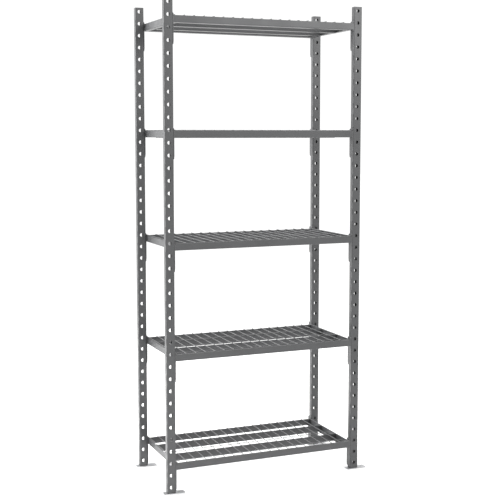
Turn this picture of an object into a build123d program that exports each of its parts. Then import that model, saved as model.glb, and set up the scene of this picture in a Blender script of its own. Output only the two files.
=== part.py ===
"""Boltless steel shelving: four perforated posts carry five steel frames with lift-out wire decks.

Frame of reference: millimetres, +Z up, +Y from the front to the back, +X to the right when seen from
the front. The origin is on the floor, at the middle of the footprint.
"""
import os

from build123d import *

os.makedirs("parts", exist_ok=True)

# Driving dimensions
bay_width = 840.0  # left to right, between the hole lines of the posts
bay_depth = 386.0  # front to back, between the holed faces of the posts
post_length = 1992.0
hole_pitch = 50.0  # the posts are punched, and so the shelves adjust, in steps of this
level_count = 5
first_level = 98.0  # height of the lowest frame's underside
holes_between_levels = 9
sheet = 2.0  # thickness of the rolled and pressed sections
bend_radius = 2.5  # outside radius of their bends
clearance = 0.3  # left between a lift-out deck and the steel that it rests on

# Posts: lipped C-section, open at the back, with the holes a little left of the middle
post_left = 17.0  # from the hole line to the section's left side
post_right = 19.0
post_depth = 26.0
post_lip = 9.5
hole_radius = 7.25
first_hole = 25.0  # from the post's lower end
slot_width = 3.0  # slots in both sides, which take the hooks of the corner brackets
slot_height = 24.0
slot_place = 4.2  # from the front face to the slot's middle line
slot_rise = 4.0  # from a hole's middle up to its slot's middle

# Foot plates: each has an anchor tab to the right of its post
foot_thickness = 3.0
foot_left = 31.0  # from the post's hole line
foot_right = 59.0
foot_corner_radius = 2.0
anchor_hole_radius = 4.5

# Shelf frames
frame_height = 28.0
beam_flange = 28.0  # depth of the beams' and the channels' bottom flange
side_flange = 20.0
channel_height = 30.0  # the channels hang a little below the frame
channel_places = (127.0, 271.0)  # from the front of the bay to each channel's upright face

# Corner brackets
bracket_sheet = 3.0
bracket_below = 85.0  # reach below the frame
bracket_above = 10.0  # reach above the frame
bracket_bevel = 13.0  # height over which the lower end thins to its edge
bracket_leg = 30.0  # reach along the beam
tab_width = 5.0  # of the pointed tab, where it leaves the frame
hook_sheet = 2.4
hook_reach = 16.0  # into the post, right behind its front face
hook_drop = 7.0  # how far the hooks hang down behind the post's side
hook_bevel = 3.0
tall_hook_top = 7.0  # above the middle of the hole in front of it
short_hook_top = 0.5

# Wire decks
wire = 3.0  # diameter
weld = 0.3  # depth that crossing wires sink into each other
cross_wire_count = 20
edge_gap = 0.8  # between the deck's edges and the steel beside them
wire_tail = 2.0  # how far the long wires reach past the last cross wires' centre lines
cross_wire_tail = 10.0  # how far the cross wires reach past the rear edge wire's centre line
inner_wire_places = (38.0, 162.0, 278.0)  # from the front of the bay

# Places worked out from the dimensions above
post_width = post_left + post_right
levels = [first_level + number * holes_between_levels * hole_pitch for number in range(level_count)]
hole_count = int((post_length - first_hole) // hole_pitch) + 1
hole_places = [(0, first_hole + number * hole_pitch) for number in range(hole_count)]
slot_places = [(slot_place, height + slot_rise) for x, height in hole_places[:-1]]
left = (foot_left - foot_right - bay_width) / 2  # hole line of the left posts
right = left + bay_width
front = -(bay_depth + post_depth) / 2  # holed face of the front posts
rear = front + bay_depth
bay_start = left + post_right  # clear space between the left and the right posts
bay_end = right - post_left
beam_start = bay_start + bracket_sheet
beam_length = bay_end - bay_start - 2 * bracket_sheet
corners = {
    "front_left": (left, front),
    "front_right": (right, front),
    "rear_left": (left, rear),
    "rear_right": (right, rear),
}


def save(piece, name):
    """Label a finished piece and write it to the parts folder."""
    piece.label = name
    export_step(piece, f"parts/{name}.step")


def angle_section(height, flange):
    """Bent sheet, seen from its end: an upright face with a bottom flange to the right of it."""
    with BuildSketch() as section:
        with BuildLine():
            FilletPolyline((0, height), (0, 0), (flange, 0), radius=bend_radius)
            offset(amount=sheet, side=Side.LEFT)
        make_face()
    return section.sketch


# Post: origin on the hole line, at the front face and the lower end
with BuildPart() as post:
    with BuildSketch():
        with Locations(((post_right - post_left) / 2, post_depth / 2)):
            RectangleRounded(post_width, post_depth, bend_radius)
            offset(amount=-sheet, mode=Mode.SUBTRACT)
        with Locations(((post_right - post_left) / 2, post_depth)):
            Rectangle(post_width - 2 * post_lip, 2 * sheet, mode=Mode.SUBTRACT)
    extrude(amount=post_length)
    with BuildSketch(Plane.XZ):
        with Locations(*hole_places):
            Circle(hole_radius)
    extrude(amount=-sheet, mode=Mode.SUBTRACT)
    # Slots in both sides, none beside the highest hole
    with BuildSketch(Plane.YZ.offset(-post_left)):
        with Locations(*slot_places):
            Rectangle(slot_width, slot_height)
    extrude(amount=post_width, mode=Mode.SUBTRACT)

for corner, (x, y) in corners.items():
    save(post.part.moved(Location((x, y, foot_thickness))), f"{corner}_post")

# Foot plate: origin under the post's own origin, on the floor
with BuildPart() as foot_plate:
    with BuildSketch():
        with Locations(((foot_right - foot_left) / 2, post_depth / 2)):
            RectangleRounded(foot_left + foot_right, post_depth + 2 * bracket_sheet, foot_corner_radius)
    extrude(amount=foot_thickness)
    with Locations(((post_right + foot_right) / 2, post_depth / 2, foot_thickness)):
        Hole(anchor_hole_radius)

for corner, (x, y) in corners.items():
    save(foot_plate.part.moved(Location((x, y, 0))), f"{corner}_foot_plate")

# Front or rear beam: origin at its left end, front face and underside
with BuildPart() as beam:
    with BuildSketch(Plane.YZ):
        add(angle_section(frame_height, beam_flange))
    extrude(amount=beam_length)

# Support channel: a higher section of the same kind, which fits between the side beams
channel_length = beam_length - 2 * sheet
channel_drop = channel_height - frame_height
with BuildPart() as channel:
    with BuildSketch(Plane.YZ):
        add(angle_section(channel_height, beam_flange))
    extrude(amount=channel_length)
    # Cut away below both ends, to clear the side beams' flanges
    with BuildSketch():
        with Locations((channel_length / 2, beam_flange / 2)):
            with GridLocations(channel_length - side_flange + sheet, 0, 2, 1):
                Rectangle(side_flange - sheet, beam_flange)
    extrude(amount=channel_drop + bend_radius, mode=Mode.SUBTRACT)

# Left side beam: origin at its outer face, front end and underside
side_beam_start = sheet + bracket_sheet  # the bracket's leg stands between it and the front beam
with BuildPart() as left_side_beam:
    with BuildSketch(Plane.XZ):
        add(angle_section(frame_height, side_flange))
    extrude(amount=-(bay_depth - side_beam_start))
    # Cut away at the front end, where it stands on the front beam's flange
    with BuildSketch():
        Rectangle(side_flange, beam_flange - side_beam_start, align=Align.MIN)
    extrude(amount=bend_radius, mode=Mode.SUBTRACT)

with BuildPart() as right_side_beam:
    add(left_side_beam.part)
    mirror(about=Plane.YZ, mode=Mode.REPLACE)

# Left corner bracket: origin at the post's inner side, front face and the frame's underside
with BuildPart() as left_bracket:
    tab_top = frame_height + bracket_above
    # Plate along the post's side, thinned to an edge at the bottom and to a point at the top
    with BuildSketch(Plane.XZ):
        with BuildLine():
            Polyline(
                (0, -bracket_below),
                (bracket_sheet / 2, -bracket_below),
                (bracket_sheet, -bracket_below + bracket_bevel),
                (bracket_sheet, tab_top - bracket_sheet),
                (0, tab_top),
                close=True,
            )
        make_face()
    extrude(amount=-(post_depth + bracket_sheet))
    # Leg behind the beam's upright face, with the foot of the pointed tab on top of it
    with BuildSketch(Plane.XZ.offset(-sheet)):
        with BuildLine():
            Polyline(
                (0, bend_radius),
                (bracket_leg, bend_radius),
                (bracket_leg, frame_height),
                (tab_width, frame_height),
                (bracket_sheet, tab_top - bracket_sheet),
                (0, tab_top - bracket_sheet),
                close=True,
            )
        make_face()
    extrude(amount=-bracket_sheet)
    # Hooks through the slots of three holes in a row, hanging on the slots' lower edges
    lowest_hole = foot_thickness + first_hole - first_level
    for number, hook_top in enumerate((short_hook_top, tall_hook_top, tall_hook_top)):
        hole = lowest_hole + number * hole_pitch
        seat = hole + slot_rise - slot_height / 2
        with BuildSketch(Plane.XZ.offset(-(slot_place - hook_sheet / 2))):
            with BuildLine():
                Polyline(
                    (0, seat),
                    (-sheet - clearance, seat),
                    (-sheet - clearance, seat - hook_drop),
                    (-hook_reach + hook_bevel, seat - hook_drop),
                    (-hook_reach, seat - hook_drop + hook_bevel),
                    (-hook_reach, hole + hook_top),
                    (0, hole + hook_top),
                    close=True,
                )
            make_face()
        extrude(amount=-hook_sheet)

with BuildPart() as right_bracket:
    add(left_bracket.part)
    mirror(about=Plane.YZ, mode=Mode.REPLACE)

# Wire deck: origin on the bay's middle line, at the posts' front face and the top of the frame
long_wire_length = beam_length - 2 * (sheet + edge_gap)
cross_wire_spread = long_wire_length - 2 * wire_tail
front_edge_wire = sheet + bracket_sheet + edge_gap + wire / 2
rear_edge_wire = bay_depth + front_edge_wire
long_wire_places = (front_edge_wire, *inner_wire_places, rear_edge_wire)
cross_wire_height = clearance + wire / 2
long_wire_height = cross_wire_height - wire + weld

with BuildPart() as deck:
    with BuildSketch(Plane.XZ):
        with Locations((0, cross_wire_height)):
            with GridLocations(cross_wire_spread / (cross_wire_count - 1), 0, cross_wire_count, 1):
                Circle(wire / 2)
    extrude(amount=-(rear_edge_wire + cross_wire_tail))
    with BuildSketch(Plane.YZ.offset(-long_wire_length / 2)):
        with Locations(*[(y, long_wire_height) for y in long_wire_places]):
            Circle(wire / 2)
    extrude(amount=long_wire_length)

for number, height in enumerate(levels, start=1):
    beam_y_places = {"front_beam": front, "rear_beam": rear}
    for name, y in beam_y_places.items():
        save(beam.part.moved(Location((beam_start, y, height))), f"shelf_{number}_{name}")

    side_y = front + side_beam_start
    left_side = left_side_beam.part.moved(Location((beam_start, side_y, height)))
    right_side = right_side_beam.part.moved(Location((beam_start + beam_length, side_y, height)))
    save(left_side, f"shelf_{number}_left_side_beam")
    save(right_side, f"shelf_{number}_right_side_beam")

    for name, place in zip(("front", "rear"), channel_places):
        channel_at = Location((beam_start + sheet, front + place, height - channel_drop))
        save(channel.part.moved(channel_at), f"shelf_{number}_{name}_support_channel")

    with BuildPart() as corner_brackets:
        for y in (front, rear):
            add(left_bracket.part.moved(Location((bay_start, y, height))))
            add(right_bracket.part.moved(Location((bay_end, y, height))))
    save(corner_brackets.part, f"shelf_{number}_corner_brackets")

    deck_at = Location(((bay_start + bay_end) / 2, front, height + frame_height))
    save(deck.part.moved(deck_at), f"shelf_{number}_wire_deck")
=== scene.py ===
"""Looks of the boltless steel shelving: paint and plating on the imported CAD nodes, floor, light and camera.

Everything is in metres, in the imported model's own frame: +Z up, front towards -Y, origin on the floor.
"""
import math

import bpy
from mathutils import Matrix, Vector


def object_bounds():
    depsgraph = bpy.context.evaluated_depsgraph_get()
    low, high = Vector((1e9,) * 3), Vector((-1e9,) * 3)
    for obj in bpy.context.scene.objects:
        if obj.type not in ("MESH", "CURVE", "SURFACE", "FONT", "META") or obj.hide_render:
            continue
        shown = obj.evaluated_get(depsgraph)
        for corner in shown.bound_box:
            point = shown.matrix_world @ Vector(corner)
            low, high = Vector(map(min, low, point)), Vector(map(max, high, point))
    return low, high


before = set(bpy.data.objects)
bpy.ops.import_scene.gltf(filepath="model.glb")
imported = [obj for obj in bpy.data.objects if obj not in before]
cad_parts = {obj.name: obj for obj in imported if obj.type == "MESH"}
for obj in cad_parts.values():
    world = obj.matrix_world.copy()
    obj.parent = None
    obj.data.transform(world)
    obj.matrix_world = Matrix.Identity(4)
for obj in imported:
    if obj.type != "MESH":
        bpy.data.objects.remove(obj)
cad_low, cad_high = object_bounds()

# Powder coat, linear colours
PAINT = (0.056, 0.057, 0.059)
PAINT_WORN = (0.20, 0.20, 0.20)
PAINT_DUSTY = (0.13, 0.13, 0.128)
CLOUD_DEPTH = 0.86  # how dark the paint's darker clouds are, against the rest
SPECKLE_STRENGTH = 0.25
GLOSS = 0.40  # specular level
COAT_WEIGHT = 0.3
COAT_ROUGHNESS = 0.30
DUST_ROUGHNESS = 0.12  # added where dust lies
WEAR_RADIUS = 0.0012  # how far from an edge the paint wears thin

# Zinc plating
ZINC_LIGHT = (0.62, 0.62, 0.63)
ZINC_DARK = (0.42, 0.43, 0.44)
ZINC_METALLIC = 0.85

# Sizes of the marks, per metre: a larger one gives finer marks
CLOUD_SCALE = 5.0
SPECKLE_SCALE = 1600.0
DUST_SCALE = 24.0
WEAR_PATCH_SCALE = 55.0
SMUDGE_SCALE = 13.0
CRYSTAL_SCALE = 160.0
STAIN_SCALE = 30.0
PLATE_SMUDGE_SCALE = 45.0
FLOOR_CLOUD_SCALE = 1.5

# Fine relief: how many ripples a metre, and how deep in metres
ORANGE_PEEL_SCALE = 700.0
ORANGE_PEEL_DEPTH = 0.00003
ROLLING_WAVE_SCALE = 9.0
ROLLING_WAVE_DEPTH = 0.0004
ZINC_LINE_SCALE = 300.0
ZINC_LINE_DEPTH = 0.00004

# Studio
WORLD_STRENGTH = 1.08
FLOOR_HALF_WIDTH = 30.0
FLOOR_DROP = 0.0005  # the floor lies this far under the foot plates
FLOOR_LIGHT = (0.98, 0.98, 0.98)
FLOOR_DARK = (0.95, 0.95, 0.95)
FLOOR_GLOW = 0.12

# Camera, as a photographer would set it
CAMERA_PLACE = Vector((-1.735, -4.117, 1.461))
CAMERA_YAW = 22.84  # degrees to the right of straight ahead
CAMERA_PITCH = -5.54
CAMERA_LENS = 74.7
CAMERA_SHIFT_UP = -0.03


class Nodes:
    """Small helper that builds a material's node tree from short calls."""

    def __init__(self, name):
        self.material = bpy.data.materials.new(name)
        self.material.use_nodes = True
        self.tree = self.material.node_tree
        self.shader = self.tree.nodes["Principled BSDF"]
        coordinates = self.add("ShaderNodeTexCoord")
        self.place = coordinates.outputs["Object"]

    def add(self, kind, **settings):
        node = self.tree.nodes.new(kind)
        for key, value in settings.items():
            setattr(node, key, value)
        return node

    def feed(self, socket, value):
        """Link an output to a socket, or set the socket's own value."""
        if isinstance(value, bpy.types.NodeSocket):
            self.tree.links.new(value, socket)
        else:
            socket.default_value = value

    def noise(self, scale, detail=2.0, stretch=(1.0, 1.0, 1.0)):
        """Cloudy value from 0 to 1; a larger stretch along an axis gives finer change along it."""
        mapping = self.add("ShaderNodeMapping")
        self.feed(mapping.inputs["Vector"], self.place)
        mapping.inputs["Scale"].default_value = stretch
        texture = self.add("ShaderNodeTexNoise")
        self.feed(texture.inputs["Vector"], mapping.outputs["Vector"])
        texture.inputs["Scale"].default_value = scale
        texture.inputs["Detail"].default_value = detail
        return texture.outputs["Fac"]

    def cells(self, scale):
        """A random value for each cell of a crystal pattern."""
        texture = self.add("ShaderNodeTexVoronoi")
        self.feed(texture.inputs["Vector"], self.place)
        texture.inputs["Scale"].default_value = scale
        separate = self.add("ShaderNodeSeparateColor")
        self.feed(separate.inputs["Color"], texture.outputs["Color"])
        return separate.outputs["Red"]

    def ramp(self, value, start, end, low=0.0, high=1.0):
        """Value taken from start..end to low..high, and held there outside."""
        node = self.add("ShaderNodeMapRange")
        self.feed(node.inputs["Value"], value)
        node.inputs["From Min"].default_value = start
        node.inputs["From Max"].default_value = end
        node.inputs["To Min"].default_value = low
        node.inputs["To Max"].default_value = high
        return node.outputs["Result"]

    def maths(self, operation, first, second):
        node = self.add("ShaderNodeMath", operation=operation)
        self.feed(node.inputs[0], first)
        self.feed(node.inputs[1], second)
        return node.outputs["Value"]

    def mix(self, factor, first, second):
        """Colour that goes from first to second as factor goes from 0 to 1."""
        node = self.add("ShaderNodeMix", data_type="RGBA")
        self.feed(node.inputs["Factor"], factor)
        for socket, colour in ((node.inputs["A"], first), (node.inputs["B"], second)):
            self.feed(socket, (*colour, 1.0) if isinstance(colour, tuple) else colour)
        return node.outputs["Result"]

    def edge(self, radius):
        """1 on sharp edges, falling to 0 on flat faces."""
        bevel = self.add("ShaderNodeBevel", samples=4)
        bevel.inputs["Radius"].default_value = radius
        geometry = self.add("ShaderNodeNewGeometry")
        dot = self.add("ShaderNodeVectorMath", operation="DOT_PRODUCT")
        self.feed(dot.inputs[0], bevel.outputs["Normal"])
        self.feed(dot.inputs[1], geometry.outputs["Normal"])
        return self.ramp(dot.outputs["Value"], 0.98, 0.72)

    def upward(self):
        """1 on faces that look up, 0 on the rest."""
        geometry = self.add("ShaderNodeNewGeometry")
        separate = self.add("ShaderNodeSeparateXYZ")
        self.feed(separate.inputs["Vector"], geometry.outputs["Normal"])
        return self.ramp(separate.outputs["Z"], 0.6, 0.95)

    def bump(self, height, depth, under=None):
        node = self.add("ShaderNodeBump")
        node.inputs["Strength"].default_value = 1.0
        node.inputs["Distance"].default_value = depth
        self.feed(node.inputs["Height"], height)
        if under is not None:
            self.feed(node.inputs["Normal"], under)
        return node.outputs["Normal"]


def painted_steel(name, tone=1.0, wear=1.0, roughness=0.40):
    """Semi-gloss grey powder coat: orange peel, slow tone changes, dust on top and wear on the edges."""
    nodes = Nodes(name)
    clouds = nodes.noise(CLOUD_SCALE, detail=4.0)
    shade = tuple(channel * tone for channel in PAINT)
    deeper = tuple(channel * CLOUD_DEPTH for channel in shade)
    colour = nodes.mix(nodes.ramp(clouds, 0.35, 0.65), deeper, shade)
    speckle = nodes.ramp(nodes.noise(SPECKLE_SCALE, detail=1.0), 0.62, 0.70)
    colour = nodes.mix(nodes.maths("MULTIPLY", speckle, SPECKLE_STRENGTH), colour, PAINT_DUSTY)
    dust_clouds = nodes.ramp(nodes.noise(DUST_SCALE, detail=5.0), 0.35, 0.75, 0.15, 0.7)
    dust = nodes.maths("MULTIPLY", nodes.upward(), dust_clouds)
    colour = nodes.mix(dust, colour, PAINT_DUSTY)
    patches = nodes.ramp(nodes.noise(WEAR_PATCH_SCALE, detail=6.0), 0.46, 0.62, 0.1, 1.0)
    patchy_edges = nodes.maths("MULTIPLY", nodes.edge(WEAR_RADIUS), patches)
    worn = nodes.maths("MULTIPLY", patchy_edges, wear)
    colour = nodes.mix(worn, colour, PAINT_WORN)
    nodes.feed(nodes.shader.inputs["Base Color"], colour)

    smudges = nodes.ramp(nodes.noise(SMUDGE_SCALE, detail=5.0), 0.3, 0.7, roughness - 0.06, roughness + 0.08)
    rough = nodes.maths("ADD", smudges, nodes.maths("MULTIPLY", dust, DUST_ROUGHNESS))
    nodes.feed(nodes.shader.inputs["Roughness"], rough)
    nodes.shader.inputs["Specular IOR Level"].default_value = GLOSS
    nodes.shader.inputs["Coat Weight"].default_value = COAT_WEIGHT
    nodes.shader.inputs["Coat Roughness"].default_value = COAT_ROUGHNESS

    peel = nodes.bump(nodes.noise(ORANGE_PEEL_SCALE, detail=1.0), ORANGE_PEEL_DEPTH)
    waves = nodes.noise(ROLLING_WAVE_SCALE, detail=2.0, stretch=(1.0, 1.0, 0.3))
    rolled = nodes.bump(waves, ROLLING_WAVE_DEPTH, under=peel)
    nodes.feed(nodes.shader.inputs["Normal"], rolled)
    return nodes.material


def zinc_plate(name):
    """Dull zinc plating on the foot plates: faint crystals, rolling lines and dark stains."""
    nodes = Nodes(name)
    colour = nodes.mix(nodes.cells(CRYSTAL_SCALE), ZINC_DARK, ZINC_LIGHT)
    stains = nodes.ramp(nodes.noise(STAIN_SCALE, detail=6.0), 0.48, 0.72, 0.0, 0.45)
    colour = nodes.mix(stains, colour, ZINC_DARK)
    colour = nodes.mix(nodes.edge(WEAR_RADIUS), colour, ZINC_LIGHT)
    nodes.feed(nodes.shader.inputs["Base Color"], colour)
    nodes.shader.inputs["Metallic"].default_value = ZINC_METALLIC
    rough = nodes.ramp(nodes.noise(PLATE_SMUDGE_SCALE, detail=4.0), 0.3, 0.7, 0.38, 0.55)
    nodes.feed(nodes.shader.inputs["Roughness"], rough)
    lines = nodes.noise(ZINC_LINE_SCALE, detail=3.0, stretch=(0.05, 1.0, 1.0))
    nodes.feed(nodes.shader.inputs["Normal"], nodes.bump(lines, ZINC_LINE_DEPTH))
    return nodes.material


def dress(node_name, material):
    """Give a CAD node one material on all its faces."""
    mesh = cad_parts[node_name].data
    mesh.materials.clear()
    mesh.materials.append(material)


materials = {
    "post": painted_steel("post_powder_coat"),
    "frame": painted_steel("frame_powder_coat", wear=0.7),
    "bracket": painted_steel("bracket_powder_coat", tone=0.95),
    # The wires get the same grey powder coat painted 1.6 times lighter: a painted highlight standing in for
    # the light the wires catch
    "wire": painted_steel("wire_coat_lightened_as_painted_highlight", tone=1.6, wear=0.0, roughness=0.30),
    "plate": zinc_plate("foot_zinc"),
}
KIND_BY_ENDING = {
    "_post": "post",
    "_beam": "frame",
    "_channel": "frame",
    "_brackets": "bracket",
    "_wire_deck": "wire",
    "_foot_plate": "plate",
}
for node_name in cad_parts:
    for ending, kind in KIND_BY_ENDING.items():
        if node_name.endswith(ending):
            dress(node_name, materials[kind])


def floor():
    """Plain pale studio floor, far larger than the view."""
    half = FLOOR_HALF_WIDTH
    corners = [(-half, -half, 0.0), (half, -half, 0.0), (half, half, 0.0), (-half, half, 0.0)]
    mesh = bpy.data.meshes.new("studio_floor")
    mesh.from_pydata(corners, [], [(0, 1, 2, 3)])
    slab = bpy.data.objects.new("studio_floor", mesh)
    bpy.context.scene.collection.objects.link(slab)
    nodes = Nodes("floor_paint")
    colour = nodes.mix(nodes.noise(FLOOR_CLOUD_SCALE, detail=3.0), FLOOR_DARK, FLOOR_LIGHT)
    nodes.feed(nodes.shader.inputs["Base Color"], colour)
    nodes.shader.inputs["Roughness"].default_value = 0.8
    nodes.shader.inputs["Specular IOR Level"].default_value = 0.2
    nodes.shader.inputs["Emission Color"].default_value = (1.0, 1.0, 1.0, 1.0)
    nodes.shader.inputs["Emission Strength"].default_value = FLOOR_GLOW
    slab.data.materials.append(nodes.material)
    slab.location.z = -FLOOR_DROP


def softbox(name, place, aim, size, watts, mirrored=True):
    """Large rectangular light that the camera doesn't see. Glossy steel shows it only if mirrored."""
    light = bpy.data.lights.new(name, "AREA")
    light.shape = "RECTANGLE"
    light.size, light.size_y = size
    light.energy = watts
    lamp = bpy.data.objects.new(name, light)
    bpy.context.scene.collection.objects.link(lamp)
    lamp.location = place
    lamp.rotation_euler = (Vector(aim) - Vector(place)).to_track_quat("-Z", "Y").to_euler()
    lamp.visible_camera = False
    lamp.visible_glossy = mirrored


def studio():
    """White surroundings and four boxes: behind and beside the left end, over the floor, above the front."""
    world = bpy.data.worlds.new("studio_world")
    world.use_nodes = True
    background = world.node_tree.nodes["Background"]
    background.inputs["Color"].default_value = (1.0, 1.0, 1.0, 1.0)
    background.inputs["Strength"].default_value = WORLD_STRENGTH
    bpy.context.scene.world = world

    middle = (cad_low + cad_high) / 2
    above_middle = middle + Vector((0, 0, 0.5))
    above_top = middle + Vector((0, 0, 1.6))
    left_floor = (-0.9, 0.7, 0.0)
    softbox("rim_box", (-3.4, 4.6, 2.0), middle, size=(4.0, 4.0), watts=20.0)
    softbox("floor_box", (-1.4, 1.3, 2.6), left_floor, size=(2.4, 2.4), watts=42.0, mirrored=False)
    softbox("left_box", (-2.3, 1.2, 2.1), above_middle, size=(1.2, 2.0), watts=150.0, mirrored=False)
    softbox("front_box", (1.9, -3.0, 2.9), above_top, size=(2.2, 1.5), watts=60.0)
    bpy.context.scene.view_settings.view_transform = "Standard"


def camera():
    """Camera at the photographer's place, turned and tilted towards the shelving."""
    data = bpy.data.cameras.new("studio_camera")
    data.lens = CAMERA_LENS
    data.shift_y = CAMERA_SHIFT_UP
    eye = bpy.data.objects.new("studio_camera", data)
    bpy.context.scene.collection.objects.link(eye)
    turn = Matrix.Rotation(math.radians(-CAMERA_YAW), 4, "Z")
    tilt = Matrix.Rotation(math.radians(90.0 + CAMERA_PITCH), 4, "X")
    eye.matrix_world = Matrix.Translation(CAMERA_PLACE) @ turn @ tilt
    bpy.context.scene.camera = eye


floor()
studio()
camera()
